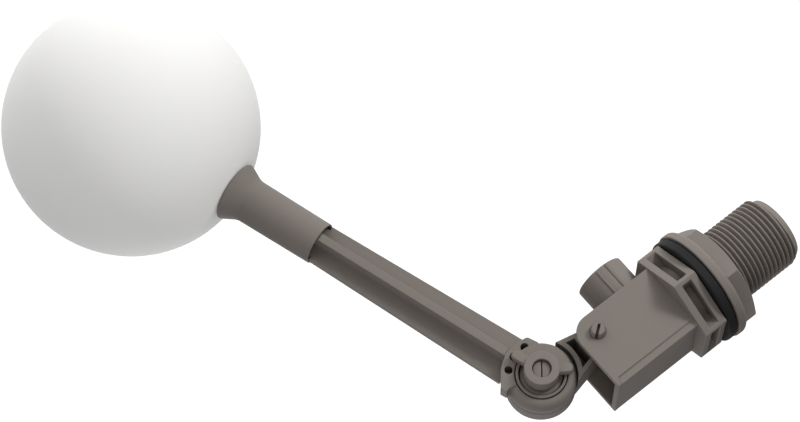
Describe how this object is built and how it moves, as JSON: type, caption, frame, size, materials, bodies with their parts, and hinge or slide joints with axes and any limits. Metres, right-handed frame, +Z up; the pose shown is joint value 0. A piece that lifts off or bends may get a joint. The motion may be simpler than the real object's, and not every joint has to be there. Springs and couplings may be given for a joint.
{
  "type": "float valve",
  "caption": "Wall-mounted plastic float valve: threaded inlet with lock nut and gasket, plunger housing with down spout, hinged lever, angle-set arm and hollow ball float.",
  "frame": {"origin": "centre of the collar's wall face, on the axis of the inlet thread", "axes": "-X out along the inlet thread through the tank wall, +X towards the float, +Z up with the spout pointing down, -Y the side with the angle lock's knob"},
  "size_m": [0.193, 0.09, 0.2355],
  "materials": {
    "grey_plastic": "satin moulded",
    "pale_plastic": "satin moulded",
    "black_rubber": "matte",
    "white_float": "satin, slightly translucent"
  },
  "bodies": {
    "housing": {"valve_body": "grey_plastic", "seat_nozzle": "pale_plastic", "seat_oring": "black_rubber", "pivot_pin": "grey_plastic"},
    "gasket": {"wall_gasket": "black_rubber"},
    "nut": {"lock_nut": "grey_plastic"},
    "plunger": {"plunger": "pale_plastic", "plunger_seal": "black_rubber", "plunger_oring": "black_rubber"},
    "lever": {"lever": "grey_plastic", "lock_pin": "grey_plastic"},
    "lock": {"angle_lock": "grey_plastic"},
    "arm": {"float_arm": "grey_plastic", "float_socket": "grey_plastic", "float_ball": "white_float", "float_plug": "white_float", "float_seal": "black_rubber"}
  },
  "joints": [
    {"name": "lever_swing", "type": "hinge", "parent": "housing", "child": "lever", "pos_m": [0.03645, 0, -0.0061], "axis": [0, -1, 0], "range_deg": [0, 30]},
    {"name": "plunger_slide", "type": "slide", "parent": "housing", "child": "plunger", "axis": [1, 0, 0], "range_m": [-0.00305, 0]},
    {"name": "lock_pull", "type": "slide", "parent": "lever", "child": "lock", "axis": [0, -1, 0], "range_m": [0, 0.0022]},
    {"name": "arm_angle", "type": "hinge", "parent": "lever", "child": "arm", "pos_m": [0.059, 0, -0.008], "axis": [0, -1, 0], "range_deg": [-26.4, 26.4]},
    {"name": "gasket_slide", "type": "slide", "parent": "housing", "child": "gasket", "axis": [-1, 0, 0], "range_m": [0, 0.01814]},
    {"name": "nut_spin", "type": "hinge", "parent": "gasket", "child": "nut", "pos_m": [-0.008, 0, 0], "axis": [1, 0, 0], "range_deg": [0, 3600]}
  ],
  "couplings": [
    {"joint": "plunger_slide", "follows": "lever_swing", "m_per_rad": -0.005825},
    {"joint": "gasket_slide", "follows": "nut_spin", "m_per_rad": 0.00028871}
  ]
}
